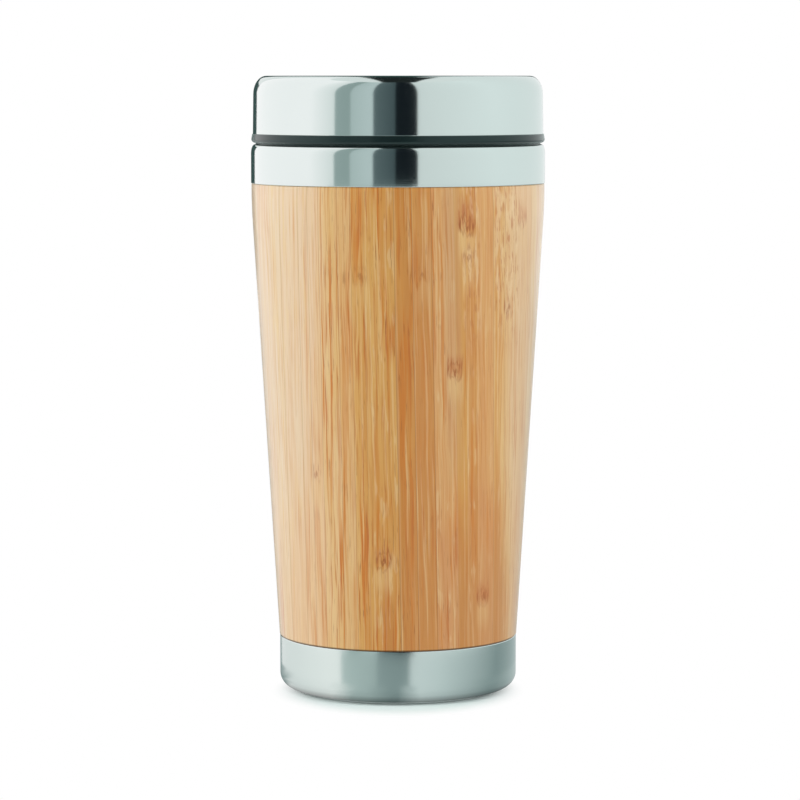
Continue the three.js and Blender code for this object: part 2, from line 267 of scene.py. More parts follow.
def bamboo():
    """A laminated sheet of split bamboo, bent round the cone, so its strips fan out from the taper."""
    material, wire, shader = finish("varnished_bamboo")
    x, y, z = place(wire)

    # The sheet laid flat: across the grain and along it
    straight = collar_bottom - sleeve_shoulder / 2 - base_top
    slope = (sleeve_radius - sleeve_foot_radius) / straight
    apex = base_top - sleeve_foot_radius / slope
    fan = slope / math.hypot(1, slope)
    height = z - apex
    slant = (x * x + y * y + height * height).math("SQRT")
    angle = (x.math("ARCTAN2", y * -1.0) - SHEET_TURN) * fan
    across = slant * angle.math("SINE")
    along = slant * angle.math("COSINE")

    # Strips of slightly uneven width, each with its own shade
    count = across / STRIP
    count = count + (count * 2.1).math("SINE") * 0.2 + (count * 0.77 + 1.3).math("SINE") * 0.3
    strip = count.math("FLOOR")
    inside = count - strip

    def draws(key):
        """Three random numbers that a strip keeps along its length."""
        chance = wire.node("ShaderNodeTexWhiteNoise", {"W": key}, noise_dimensions="1D")
        parts = wire.node("ShaderNodeSeparateColor", {0: chance.out("Color")})
        return parts.out("Red"), parts.out("Green"), parts.out("Blue")

    shade, lean, seam = draws(strip)
    busy, flaky, rosy = draws(strip + 40.5)
    sway = wire.noise(strip * 5.1, along * 24.0, 2.0)
    ripple = wire.noise(across * 240.0, along * 75.0, 4.0)
    grain = across + along * (lean - 0.5) * 0.02 + sway * (1.4 * mm) + ripple * (0.7 * mm)
    apart = strip * 3.7

    # Broad changes of tone, then lines of fibre of several kinds, crowded in some places
    drift = wire.noise(grain * 210.0, along * 20.0, apart)
    crowd = wire.noise(grain * 130.0, along * 26.0, apart + 5.0)
    fibre = wire.noise(grain * 2700.0, along * 42.0, apart, 3.0)
    streak = wire.noise(grain * 950.0, along * 20.0, apart + 11.0)
    thread = wire.noise(grain * 1900.0, along * 40.0, apart + 17.0)
    gleam = wire.noise(grain * 1250.0, along * 22.0, apart + 31.0)
    flake = wire.noise(grain * 620.0, along * 105.0, apart + 41.0)
    vessel = wire.noise(grain * 2800.0, along * 150.0, apart + 23.0)
    lower = z.rise(80 * mm, 20 * mm)
    behind = across.rise(-58 * mm, -84 * mm) + across.rise(80 * mm, 104 * mm)
    # Painted sheen: the front's left and right sides are paler and less streaked, standing for the
    # reflection of the bright side lights; less low down, none at the back
    painted_sheen = across.rise(-6 * mm, -20 * mm) + across.rise(38 * mm, 52 * mm) * 0.55
    painted_sheen = painted_sheen * (1.0 - lower * 0.5) * (1.0 - behind)
    golden = across.rise(-3 * mm, 6 * mm) * across.rise(31 * mm, 16 * mm) + behind * 0.7
    ruddy = across.rise(13 * mm, 22 * mm) * across.rise(50 * mm, 40 * mm)
    tone = shade * 0.42 + drift - 0.25 - painted_sheen * 0.35
    tone = tone + golden * 0.31 + ruddy * 0.2 + lower * (golden * 0.3 + ruddy * 0.75)
    wood = tone.node(
        "ShaderNodeValToRGB",
        {0: tone},
        stops=(
            (0.0, (0.7, 0.5, 0.28)),
            (0.28, (0.655, 0.41, 0.16)),
            (0.55, (0.615, 0.33, 0.085)),
            (0.8, (0.575, 0.27, 0.057)),
            (1.0, (0.525, 0.215, 0.042)),
        ),
    )
    wood = (rosy.rise(0.4, 0.9) * 0.4).mix(wood, (0.65, 0.36, 0.18, 1))
    # Painted sheen: a pale colour laid over the sides of the front
    wood = (painted_sheen * 0.6).mix(wood, (0.69, 0.57, 0.41, 1))
    wood = (gleam.rise(0.52, 0.68) * 0.5).mix(wood, (0.69, 0.475, 0.22, 1))
    wood = (flake.rise(0.58, 0.7) * flaky.rise(0.3, 0.9) * 0.45).mix(wood, (0.7, 0.5, 0.25, 1))
    wood = (fibre.rise(0.5, 0.25) * 0.5).mix(wood, (0.55, 0.2, 0.03, 1))
    dense = (0.35 + 0.85 * busy) * (0.5 + 0.7 * crowd.rise(0.36, 0.62)) * (1.0 - painted_sheen * 0.6)
    wood = (streak.rise(0.53, 0.66) * 0.8 * dense).mix(wood, (0.54, 0.17, 0.016, 1))
    wood = (thread.rise(0.54, 0.66) * 0.65 * dense).mix(wood, (0.47, 0.13, 0.015, 1))
    wood = (vessel.rise(0.6, 0.72) * 0.5 * dense).mix(wood, (0.29, 0.085, 0.014, 1))

    # Right of the front one strip is duller, two are mottled in their upper part,
    # and the foot is darker
    def belt(start, end):
        """1 between two places across the sheet."""
        soft = 1 * mm
        return across.rise(start - soft, start + soft) * across.rise(end + soft, end - soft)

    flecks = wire.noise(grain * 1700.0, along * 220.0, 8.0)
    mottled = (belt(31 * mm, 36 * mm) + belt(41.5 * mm, 52 * mm)) * z.rise(96 * mm, 114 * mm)
    dull = belt(25 * mm, 30 * mm) * z.rise(50 * mm, 95 * mm)
    wood = (dull * 0.4).mix(wood, (0.5, 0.275, 0.125, 1))
    wood = (belt(27 * mm, 48 * mm) * z.rise(52 * mm, 26 * mm) * 0.3).mix(wood, (0.46, 0.2, 0.06, 1))
    wood = (flake.rise(0.48, 0.62) * mottled * 0.5).mix(wood, (0.72, 0.53, 0.3, 1))
    wood = (flecks.rise(0.54, 0.64) * mottled * 0.6).mix(wood, (0.44, 0.14, 0.035, 1))

    # At a joint the strip has a red flush, short dark marks and a pale patch, from the top down
    ragged = wire.noise(grain * 900.0, along * 50.0, 5.0)
    flush = marks = pale = arcs = 0.0
    for turn, level, width, tall, redness, darkness in CANE_JOINTS:
        radius = sleeve_foot_radius + slope * (level - base_top)
        reach_out = math.hypot(radius, level - apex)
        swing = (math.radians(turn) - SHEET_TURN) * fan
        beside = across - reach_out * math.sin(swing)
        on_strip = beside.math("ABSOLUTE").rise(0.6 * width, 0.4 * width)
        above = along - reach_out * math.cos(swing) + (ragged - 0.5) * (8 * mm)
        around = (beside * beside + above * above * 0.6).math("SQRT")
        ring = (around * (math.tau / (1.7 * mm))).math("SINE")
        arcs = arcs + darkness * on_strip * around.rise(0.6 * width, 0.2 * width) * ring.rise(0.1, 0.9)
        flush = flush + on_strip * redness * above.rise(-2 * mm, 1 * mm) * above.rise(tall, 0.2 * tall)
        marks = marks + on_strip * darkness * above.rise(-3 * mm, 0.0) * above.rise(5 * mm, 0.0)
        pale = pale + on_strip * darkness * above.rise(-1 * mm, -3 * mm) * above.rise(-12 * mm, -5 * mm)
    redden = (flush * (0.5 + 0.5 * flecks.rise(0.42, 0.6))).math("MINIMUM", 0.85)
    wood = redden.mix(wood, (0.47, 0.15, 0.035, 1))
    wood = (pale * 0.45).mix(wood, (0.7, 0.46, 0.2, 1))
    spots = (marks * flecks.rise(0.46, 0.62) * 0.7 + arcs * 0.6).math("MINIMUM", 0.9)
    wood = spots.mix(wood, (0.3, 0.08, 0.012, 1))

    # Thin glue lines between some of the strips and where the sheet's ends meet at the back,
    # a lighter edge beside the strips, and painted shade at the foot, where the sleeve meets the base
    side = inside.math("MINIMUM", 1.0 - inside)
    meeting = x.math("ABSOLUTE").rise(0.3 * mm, 0.12 * mm) * y.rise(0.0, 1 * mm)
    line = (side.rise(0.035, 0.008) * seam.rise(0.3, 0.9)).math("MAXIMUM", meeting)
    wood = (inside.rise(0.1, 0.03) * shade * 0.4).mix(wood, (0.68, 0.46, 0.2, 1))
    wood = (line * 0.6).mix(wood, (0.3, 0.11, 0.03, 1))
    # Painted shade: a near-black band just above the base stands for the shadow in the gap
    foot = z.rise(base_top + 0.55 * mm, base_top + 0.2 * mm)
    wood = (foot * 0.75).mix(wood, (0.06, 0.03, 0.015, 1))

    relief = fibre * 0.5 + vessel * 0.25 - line * 0.6 - spots * 0.4
    connect(
        shader,
        Base_Color=wood,
        Roughness=0.4 + 0.14 * fibre,
        Normal=bumped(wire, relief, 0.03 * mm, 0.6),
        IOR=1.45,
        Specular_IOR_Level=0.25,
        # No coat on the painted shade at the foot, so it stays dark
        Coat_Weight=1.0 - foot,
        Coat_Roughness=0.22,
        Coat_IOR=1.4,
        Sheen_Weight=0.15,
        Sheen_Roughness=0.4,
    )
    return material


def steel(name, colour, roughness, grain, depth, flat=0.0, flat_roughness=0.0, metal=1.0):
    """Stainless steel with a fine turned grain round the axis, rougher inside the flat radius."""
    material, wire, shader = finish(name)
    x, y, z = place(wire)
    radius = (x * x + y * y).math("SQRT")
    turned = wire.noise(x * 14.0, y * 14.0, (z + radius) * grain, 3.0)
    cloud = wire.noise(x * 40.0, y * 40.0, z * 40.0)
    dim = tuple(0.94 * part for part in colour)
    level = roughness
    if flat:
        level = roughness + radius.rise(flat + 0.5 * mm, flat - 0.5 * mm) * (flat_roughness - roughness)
    connect(
        shader,
        Base_Color=cloud.mix((*dim, 1), (*colour, 1)),
        Metallic=metal,
        Roughness=level * (0.8 + 0.25 * turned + 0.15 * cloud),
        Normal=bumped(wire, turned, depth, 0.5),
    )
    return material


def plastic(name, colour, roughness, coat):
    """Moulded plastic with the faint grain of its mould, under a share of gloss."""
    material, wire, shader = finish(name)
    x, y, z = place(wire)
    texture = wire.noise(x * 3800.0, y * 3800.0, z * 3800.0)
    cloud = wire.noise(x * 60.0, y * 60.0, z * 60.0)
    worn = tuple(1.35 * part for part in colour)
    connect(
        shader,
        Base_Color=cloud.mix((*colour, 1), (*worn, 1)),
        Roughness=roughness * (0.82 + 0.2 * texture + 0.16 * cloud),
        Specular_IOR_Level=0.4,
        Specular_Tint=(0.6, 1.0, 0.97, 1),
        Coat_Weight=coat,
        Coat_Roughness=0.1,
        Coat_IOR=1.4,
        Sheen_Weight=0.4,
        Sheen_Roughness=0.25,
        Sheen_Tint=(0.8, 1.0, 0.97, 1),
        Normal=bumped(wire, texture, 0.004 * mm, 0.4),
    )
    return material


def silicone():
    """Milky silicone with a dusty bloom."""
    material, wire, shader = finish("milky_silicone")
    x, y, z = place(wire)
    bloom = wire.noise(x * 220.0, y * 220.0, z * 220.0, 4.0)
    connect(
        shader,
        Base_Color=bloom.mix((0.62, 0.63, 0.6, 1), (0.76, 0.76, 0.72, 1)),
        Roughness=0.42 + 0.22 * bloom,
        Subsurface_Weight=0.25,
        Subsurface_Scale=1.5 * mm,
    )
    return material


def rubber():
    """Matt black rubber with a fine pebbled skin."""
    material, wire, shader = finish("foot_rubber")
    x, y, z = place(wire)
    pebble = wire.noise(x * 1800.0, y * 1800.0, z * 1800.0)
    dust = wire.noise(x * 90.0, y * 90.0, z * 90.0, 4.0)
    connect(
        shader,
        Base_Color=dust.rise(0.45, 0.8).mix((0.016, 0.016, 0.016, 1), (0.045, 0.044, 0.042, 1)),
        Roughness=0.68 + 0.2 * pebble,
        Normal=bumped(wire, pebble, 0.05 * mm, 0.7),
    )
    return material


# Shapes


def bend(radius, height, size, start, end, tall=None):
    """Points of an arc in a profile, by centre, radius and angles in degrees; tall makes it oval."""
    upright = size if tall is None else tall
    points = []
    for step in range(BEND + 1):
        angle = math.radians(start + (end - start) * step / BEND)
        points.append((radius + size * math.cos(angle), height + upright * math.sin(angle)))
    return points


def turning_tree():
    """Sweeps a profile, drawn as edges in the XZ plane, once round the Z axis."""
    tree = bpy.data.node_groups.new("turned_on_a_lathe", "GeometryNodeTree")
    tree.is_modifier = True
    face = tree.interface
    face.new_socket("Profile", in_out="INPUT", socket_type="NodeSocketGeometry")
    face.new_socket("Sides", in_out="INPUT", socket_type="NodeSocketInt")
    face.new_socket("Finish", in_out="INPUT", socket_type="NodeSocketMaterial")
    face.new_socket("Turned", in_out="OUTPUT", socket_type="NodeSocketGeometry")
    given = Wire(tree).node("NodeGroupInput")
    curve = given.node("GeometryNodeMeshToCurve", {"Mesh": given.out("Profile")})
    point = given.node("ShaderNodeSeparateXYZ", {0: given.node("GeometryNodeInputPosition")})
    path_radius = 0.01
    section = given.node(
        "ShaderNodeCombineXYZ",
        {0: point.out("X") - path_radius, 1: point.out("Z") * -1.0},
    )
    curve = given.node("GeometryNodeSetPosition", {"Geometry": curve, "Position": section})
    path = given.node(
        "GeometryNodeCurvePrimitiveCircle",
        {"Resolution": given.out("Sides"), "Radius": path_radius},
    )
    wall = given.node("GeometryNodeCurveToMesh", {"Curve": path, "Profile Curve": curve})
    wall = given.node("GeometryNodeMergeByDistance", {"Geometry": wall, "Distance": 0.001 * mm})
    wall = given.node("GeometryNodeRealizeInstances", {"Geometry": wall})
    wall = given.node("GeometryNodeSetMaterial", {"Geometry": wall, "Material": given.out("Finish")})
    given.node("NodeGroupOutput", {"Turned": wall})
    return tree


lathe = turning_tree()


def apply_tree(piece, tree, **values):
    """Runs a geometry tree on a piece with these inputs, and keeps the result as its plain mesh."""
    modifier = piece.modifiers.new(tree.name, "NODES")
    modifier.node_group = tree
    for item in tree.interface.items_tree:
        if item.in_out == "INPUT" and item.name in values:
            modifier[item.identifier] = values[item.name]
    return apply_modifiers(piece)


def apply_modifiers(piece):
    """Keeps what the modifiers make as the plain mesh."""
    bpy.context.view_layer.update()
    graph = bpy.context.evaluated_depsgraph_get()
    mesh = bpy.data.meshes.new_from_object(piece.evaluated_get(graph))
    old = piece.data
    piece.modifiers.clear()
    piece.data = mesh
    bpy.data.meshes.remove(old)
    return piece


def new_piece(name, mesh):
    piece = bpy.data.objects.new(name, mesh)
    bpy.context.scene.collection.objects.link(piece)
    return piece


def smooth(piece):
    """Closes the mesh, turns its faces outwards and shades its soft edges smooth."""
    weld = 0.0005 * mm
    form = bmesh.new()
    form.from_mesh(piece.data)
    bmesh.ops.remove_doubles(form, verts=form.verts, dist=weld)
    bmesh.ops.dissolve_degenerate(form, edges=form.edges, dist=weld)
    bmesh.ops.recalc_face_normals(form, faces=form.faces)
    form.to_mesh(piece.data)
    form.free()
    piece.data.shade_smooth()
    piece.data.set_sharp_from_angle(angle=math.radians(SOFT_ANGLE))
    return piece


def turned(name, profile, material, closed=False):
    """A turned piece. Its profile starts and ends on the axis, or closes on itself."""
    outline = bpy.data.meshes.new(name)
    edges = [(i, i + 1) for i in range(len(profile) - 1)]
    if closed:
        edges.append((len(profile) - 1, 0))
    outline.from_pydata([(radius, 0, height) for radius, height in profile], edges, [])
    piece = new_piece(name, outline)
    return smooth(apply_tree(piece, lathe, Sides=SIDES, Finish=material))


def slot_ring(width, front, back, grow, height):
    """Points round a slot with round ends along Y, grown outwards."""
    ring = []
    for middle, first in ((back - width / 2, 0), (front + width / 2, 180)):
        for step in range(END + 1):
            angle = math.radians(first + 180 * step / END)
            reach_out = width / 2 + grow
            ring.append((reach_out * math.cos(angle), middle + reach_out * math.sin(angle), height))
    return ring


def layered(name, rings, material):
    """A closed piece through rings of equal counts, capped at the first and the last."""
    form = bmesh.new()
    loops = [[form.verts.new(point) for point in ring] for ring in rings]
    for lower, upper in zip(loops, loops[1:]):
        for i in range(len(lower)):
            j = (i + 1) % len(lower)
            form.faces.new((lower[i], lower[j], upper[j], upper[i]))
    form.faces.new(reversed(loops[0]))
    form.faces.new(loops[-1])
    mesh = bpy.data.meshes.new(name)
    form.to_mesh(mesh)
    form.free()
    mesh.materials.append(material)
    return smooth(new_piece(name, mesh))


def combine(piece, other, operation):
    """Cuts another solid out of a piece, or joins it on, and removes that solid."""
    modifier = piece.modifiers.new(operation, "BOOLEAN")
    modifier.operation = operation
    modifier.solver = "EXACT"
    modifier.object = other
    apply_modifiers(piece)
    bpy.data.objects.remove(other)
    return piece


def dress(piece, node):
    """A piece that stands for a CAD node, on that node's body, with the node hidden."""
    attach(piece, body_of[node])
    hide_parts(node)
    return piece


# Cup


def foot_pad(material):
    edge = 0.3 * mm
    groove = 0.35 * mm
    rings = (0.35, 0.6, 0.85)  # shares of the radius at which a groove runs round
    profile = [(0, pad_bottom)]
    for share in rings:
        middle = share * pad_radius
        profile += bend(middle, pad_bottom, groove, 180, 0)
    profile += bend(pad_radius - edge, pad_bottom + edge, edge, -90, 0)
    profile += [(pad_radius, pad_top), (0, pad_top)]
    return turned("foot_pad_grooved", profile, material)


def base_cap(material):
    recess = pad_radius + fit_gap
    flat = base_radius - base_corner
    turn = base_bottom + base_corner
    floor = pad_top + base_wall
    hem = base_wall / 2
    profile = [(0, pad_top), (recess, pad_top), (recess, base_bottom)]
    profile += bend(flat, turn, base_corner, -90, 0)
    profile += bend(base_radius - hem, base_top - hem, hem, 0, 180)
    profile += bend(flat, turn, base_corner - base_wall, 0, -90)
    profile += [(recess + base_wall, base_bottom + base_wall), (recess + base_wall, floor), (0, floor)]
    return turned("base_cap_spun", profile, material)


def bore(height):
    """Radius of the sleeve's straight conical bore."""
    share = (height - base_top) / (collar_bottom - base_top)
    return sleeve_foot_radius + (sleeve_radius - sleeve_foot_radius) * share - sleeve_wall


def sleeve(material):
    lower = base_radius - base_wall - fit_gap
    upper = collar_radius - collar_wall - fit_gap
    turn = collar_bottom - sleeve_shoulder / 2
    slope = (sleeve_radius - sleeve_foot_radius) / (turn - base_top)
    profile = [(bore(sleeve_bottom), sleeve_bottom), (lower, sleeve_bottom), (lower, base_top)]
    profile += [(sleeve_foot_radius - sleeve_edge, base_top)]
    profile += [(sleeve_foot_radius + slope * sleeve_edge, base_top + sleeve_edge)]
    for step in range(BEND + 1):
        share = step / BEND
        fall = slope * sleeve_shoulder / 2 * (1 - share) ** 2
        height = collar_bottom - sleeve_edge - (sleeve_shoulder - sleeve_edge) * (1 - share)
        profile.append((sleeve_radius - fall, height))
    profile += [(sleeve_radius - sleeve_edge, collar_bottom), (upper, collar_bottom)]
    profile += [(upper, sleeve_top), (bore(sleeve_top), sleeve_top)]
    return turned("bamboo_sleeve_turned", profile, material, closed=True)


def collar(material):
    inner = mouth_radius + liner_wall + fit_gap
    edge = collar_radius - collar_edge
    turn = collar_top - collar_edge_tall
    profile = [(collar_radius - collar_wall, collar_bottom)]
    profile += bend(collar_radius - collar_hem, collar_bottom + collar_hem, collar_hem, -90, 0)
    profile += bend(edge, turn, collar_edge, 0, 90, collar_edge_tall)
    profile += [(inner, collar_top), (inner, collar_top - collar_wall)]
    profile += bend(edge, turn, collar_edge - collar_wall, 90, 0, collar_edge_tall - collar_wall)
    return turned("collar_band_rolled", profile, material, closed=True)


def liner(material):
    mouth_bottom = plug_bottom - mouth_spare
    floor = liner_bottom + liner_wall
    turn = floor + liner_corner
    corner = liner_foot_radius - liner_corner
    fold = liner_wall / 2
    lip = 0.8 * mm
    profile = [(0, liner_bottom)]
    profile += bend(corner, turn, liner_corner + liner_wall, -90, 0)
    outside = mouth_radius + liner_wall
    profile += [(outside, mouth_bottom), (outside, collar_top)]
    profile += bend(rim_radius - fold, seat - fold, fold, -90, 90)
    profile += bend(mouth_radius + lip, seat - lip, lip, 90, 180)
    profile += [(mouth_radius, mouth_bottom)]
    profile += bend(corner, turn, liner_corner, 0, -90)
    profile += [(0, floor)]
    return turned("inner_liner_drawn", profile, material)


# Lid

plug_gap = 0.5 * mm
plug_wall = 2 * mm
plug_lead = 1 * mm
lip_round = 1.1 * mm
lip_round_tall = 1 * mm
lip_lean = 0.2 * mm  # how far the lip's wall leans in towards its top
lip_edge = 0.15 * mm
drip_edge = 0.4 * mm  # bead under the lip that stands round the cup's rim
cap_support = 2 * mm
deck_thickness = 1.8 * mm
groove_depth = 1.2 * mm
track_wall = 1.2 * mm
trim_width = 1.5 * mm
track_edge = 1 * mm
track_overhang = 2 * mm
track_floor_thickness = 1.5 * mm
sip_length = 12 * mm
sip_width = 7 * mm
sip_setback = 3.8 * mm
vent_radius = 1.2 * mm
vent_spacing = 1.8 * mm
cut_spare = 1 * mm  # how far a cutter reaches past the wall that it opens

plug_radius = mouth_radius - plug_gap
dish_floor = cap_top - dish_depth
deck_top = track_low.z
deck_bottom = deck_top - deck_thickness
track_floor = deck_top + track_floor_thickness
track_border = track_wall + trim_width  # from the slider's run to the trim's outside
track_width = track_high.x - track_low.x - 2 * track_border
track_front = track_low.y + track_border
track_back = track_high.y - track_border
sip_front = track_front + sip_setback
vent_middle = sip_front + sip_width + vent_spacing + vent_radius


def prism(name, ring, top):
    """A plain solid that cuts an opening."""
    upper = [(x, y, top) for x, y, _ in ring]
    return layered(name, [ring, upper], None)


def cut_drink_holes(piece, bottom, top):
    """The sip hole, which lies across the lid, and the vent behind it."""
    middle = sip_front + sip_width / 2
    lying = slot_ring(sip_width, -sip_length / 2, sip_length / 2, 0, bottom)
    sip = [(y, middle - x, z) for x, y, z in lying]
    combine(piece, prism("sip_cutter", sip, top), "DIFFERENCE")
    vent = slot_ring(2 * vent_radius, vent_middle - vent_radius, vent_middle + vent_radius, 0, bottom)
    combine(piece, prism("vent_cutter", vent, top), "DIFFERENCE")
    return smooth(piece)


def lid_body(material):
    support = cap_radius - cap_draft - cap_wall - fit_gap
    groove = plug_radius - groove_depth
    groove_top = seal_top + fit_gap
    foot = 0.4 * mm
    profile = [(0, deck_bottom), (plug_radius - plug_wall, deck_bottom)]
    profile += bend(plug_radius - plug_wall + foot, plug_bottom + foot, foot, 180, 270)
    profile += [(plug_radius - plug_lead, plug_bottom), (plug_radius, plug_bottom + plug_lead)]
    profile += [(plug_radius, seal_bottom), (groove, seal_bottom)]
    profile += [(groove, groove_top), (plug_radius, groove_top), (plug_radius, seat)]
    bead = rim_radius + fit_gap
    profile += [(bead, seat), (bead, seat - drip_edge)]
    profile += [(bead + fit_gap, seat - drip_edge), (bead + fit_gap + drip_edge / 2, seat)]
    profile += bend(lip_radius - lip_round, seat + lip_round_tall, lip_round, -90, 0, lip_round_tall)
    profile += bend(lip_radius - lip_lean - lip_edge, lip_top - lip_edge, lip_edge, 0, 90)
    profile += [(support, lip_top), (support, support_top)]
    profile += [(support - cap_support, support_top), (support - cap_support, lip_top)]
    profile += [(plug_radius, lip_top), (plug_radius, deck_top), (0, deck_top)]
    piece = turned("lid_body_moulded", profile, material)
    return cut_drink_holes(piece, deck_bottom - cut_spare, deck_top + cut_spare)


def lid_cap(material):
    shoulder = cap_radius - cap_draft
    crest = shoulder - cap_shoulder
    wall = crest - cap_roll
    guard = 0.3 * mm  # keeps a bend's shading off the flat beside it
    fillet = (wall - dish_fillet, dish_floor + dish_fillet)
    profile = [(0, dish_floor - cap_wall), (fillet[0] - guard, dish_floor - cap_wall)]
    profile += bend(*fillet, dish_fillet + cap_wall, -90, 0)
    profile += bend(crest, cap_top - cap_roll, cap_roll - cap_wall, 180, 90)
    side = cap_top - cap_shoulder_tall
    profile += bend(crest, side, cap_shoulder - cap_wall, 90, 0, cap_shoulder_tall - cap_wall)
    profile += [(cap_radius - cap_wall, lip_top)]
    profile += bend(cap_radius - cap_hem, lip_top + cap_hem_tall, cap_hem, -90, 0, cap_hem_tall)
    profile += bend(crest, side, cap_shoulder, 0, 90, cap_shoulder_tall)
    profile += bend(crest, cap_top - cap_roll, cap_roll, 90, 180)[1:]
    profile += bend(*fillet, dish_fillet, 0, -90)
    profile += [(fillet[0] - guard, dish_floor), (0, dish_floor)]
    piece = turned("lid_cap_pressed", profile, material)
    below = dish_floor - 2 * cut_spare
    opening = slot_ring(track_width, track_front, track_back, track_wall + fit_gap, below)
    return smooth(combine(piece, prism("track_cutter", opening, cap_top), "DIFFERENCE"))


def lid_seal(material):
    inner = plug_radius - groove_depth + fit_gap
    root = plug_radius - fit_gap
    fin = 0.4 * mm
    low_fin = seal_bottom + fin
    high_fin = seal_top - fin
    profile = [(inner, seal_bottom)]
    profile += bend(seal_radius - fin, low_fin, fin, -90, 60)
    profile += [(root, low_fin + 2 * fin), (root, high_fin - 2 * fin)]
    profile += bend(seal_radius - fin, high_fin, fin, -60, 90)
    profile += [(inner, seal_top)]
    return turned("lid_seal_ring", profile, material, closed=True)


def slider_track(material):
    def ring(grow, height):
        return slot_ring(track_width, track_front, track_back, grow, height)

    top = track_high.z
    soft = 0.5 * mm
    lip = 0.25 * mm
    rings = [ring(track_wall, deck_top), ring(track_wall, dish_floor)]
    rings += [ring(track_border, dish_floor)]
    for grow, height in bend(track_border - soft, top - soft, soft, 0, 90):
        rings.append(ring(grow, height))
    for grow, height in bend(lip - track_overhang, top - lip, lip, 90, 180):
        rings.append(ring(grow, height))
    rings += [ring(-track_overhang, top - track_edge), ring(0, top - track_edge), ring(0, track_floor)]
    piece = layered("slider_track_insert", rings, material)
    return cut_drink_holes(piece, deck_top - cut_spare, track_floor + cut_spare)


# Slider

slider_plate = 1.6 * mm
slider_rise = 1.1 * mm
slider_width = slider_high.x - slider_low.x
body_top = track_high.z + slider_rise
grip_length = 7 * mm
grip_width = 13 * mm
grip_crest = 1.5 * mm
grip_inset = 3 * mm
grip_middle = slider_high.y - track_overhang - grip_inset - grip_length / 2


def thumb_grip():
    """The ridge that the thumb pushes, with rounded ends."""
    top = slider_high.z
    root = track_high.z
    rings = []
    for side, height in bend(0, top - grip_crest, grip_crest, 0, 180):
        rings.append((grip_middle + side, height))
    rings += [(grip_middle - grip_length / 2, root), (grip_middle + grip_length / 2, root)]
    ends = []
    centre = (root + top) / 2
    sections = ((-1, 0.9), (-0.94, 1), (0.94, 1), (1, 0.9))  # share of half the width, and size there
    for share, narrow in sections:
        ends.append(
            [
                (
                    share * grip_width / 2,
                    grip_middle + (y - grip_middle) * narrow,
                    centre + (z - centre) * narrow,
                )
                for y, z in rings
            ]
        )
    return layered("thumb_grip", ends, None)


def slider(material):
    def ring(grow, height):
        return slot_ring(slider_width, slider_low.y, slider_high.y, grow, height)

    bottom = slider_low.z
    plate_top = bottom + slider_plate
    soft = 0.7 * mm
    edge = 0.25 * mm
    rings = [ring(-edge, bottom), ring(0, bottom + edge)]
    rings += [ring(0, plate_top - edge), ring(-edge, plate_top)]
    rings += [ring(-track_overhang, plate_top)]
    for grow, height in bend(-track_overhang - soft, body_top - soft, soft, 0, 90):
        rings.append(ring(grow, height))
    piece = layered("slider_moulded", rings, material)
    combine(piece, thumb_grip(), "UNION")
    radius = (stopper_high.x - stopper_low.x) / 2 + fit_gap
    middle = (stopper_high.y + stopper_low.y) / 2
    pocket = slot_ring(2 * radius, middle - radius, middle + radius, 0, bottom - cut_spare)
    combine(piece, prism("pocket_cutter", pocket, stopper_high.z), "DIFFERENCE")
    piece.data.materials.clear()
    piece.data.materials.append(material)
    return smooth(piece)


def slider_seal(material):
    radius = (stopper_high.x - stopper_low.x) / 2
    middle = (stopper_high.y + stopper_low.y) / 2
    edge = 0.25 * mm
    rings = []
    for grow, height in bend(-edge, stopper_low.z + edge, edge, -90, 0):
        rings.append(slot_ring(2 * radius, middle - radius, middle + radius, grow, height))
    rings.append(slot_ring(2 * radius, middle - radius, middle + radius, 0, stopper_high.z))
    return layered("slider_seal_pad", rings, material)


def rib_tree():
    """A row of low round-backed ribs along Y."""
    tree = bpy.data.node_groups.new("row_of_ribs", "GeometryNodeTree")
    tree.is_modifier = True
    face = tree.interface
    face.new_socket("Count", in_out="INPUT", socket_type="NodeSocketInt")
    for name in ("Length", "Radius"):
        face.new_socket(name, in_out="INPUT", socket_type="NodeSocketFloat")
    for name in ("Start", "Spacing"):
        face.new_socket(name, in_out="INPUT", socket_type="NodeSocketVector")
    face.new_socket("Finish", in_out="INPUT", socket_type="NodeSocketMaterial")
    face.new_socket("Ribs", in_out="OUTPUT", socket_type="NodeSocketGeometry")
    given = Wire(tree).node("NodeGroupInput")
    row = given.node(
        "GeometryNodeMeshLine",
        {
            "Count": given.out("Count"),
            "Start Location": given.out("Start"),
            "Offset": given.out("Spacing"),
        },
    )
    rib = given.node(
        "GeometryNodeMeshCylinder",
        {"Vertices": 16, "Radius": given.out("Radius"), "Depth": given.out("Length")},
    )
    lying = (0, math.pi / 2, 0)
    ribs = given.node(
        "GeometryNodeInstanceOnPoints",
        {"Points": row, "Instance": rib, "Rotation": lying},
    )
    ribs = given.node("GeometryNodeRealizeInstances", {"Geometry": ribs})
    ribs = given.node("GeometryNodeSetMaterial", {"Geometry": ribs, "Material": given.out("Finish")})
    given.node("NodeGroupOutput", {"Ribs": ribs})
    return tree


def grip_ribs(material):
    """Ribs on the slider's flat front, sunk to just over half their height."""
    setback = 6 * mm
    sunk = 0.05 * mm
    piece = new_piece("slider_grip_ribs", bpy.data.meshes.new("slider_grip_ribs"))
    apply_tree(
        piece,
        rib_tree(),
        Count=4,
        Length=9 * mm,
        Radius=0.4 * mm,
        Start=(0, slider_low.y + setback, body_top - sunk),
        Spacing=(0, 1.7 * mm, 0),
        Finish=material,
    )
    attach(smooth(piece), body_of["slider"])
    return piece


# Studio


def stage_material():
    """A card's own light, from the colours at its corners: 1 is white."""
    material = bpy.data.materials.new("card_light")
    material.use_nodes = True
    tree = material.node_tree
    tree.nodes.clear()
    wire = Wire(tree)
    tint = wire.node("ShaderNodeVertexColor", layer_name="tint")
    light = wire.node("ShaderNodeEmission", {"Color": tint, "Strength": 1.0})
    wire.node("ShaderNodeOutputMaterial", {"Surface": light})
    return material


card_light = stage_material()

CARD_DISTANCE = 1.35
CARD_TOP = 2.6
CARD_MIDDLE = 0.0  # below this the cards show in the steel base only
CARD_BOTTOM = -0.6

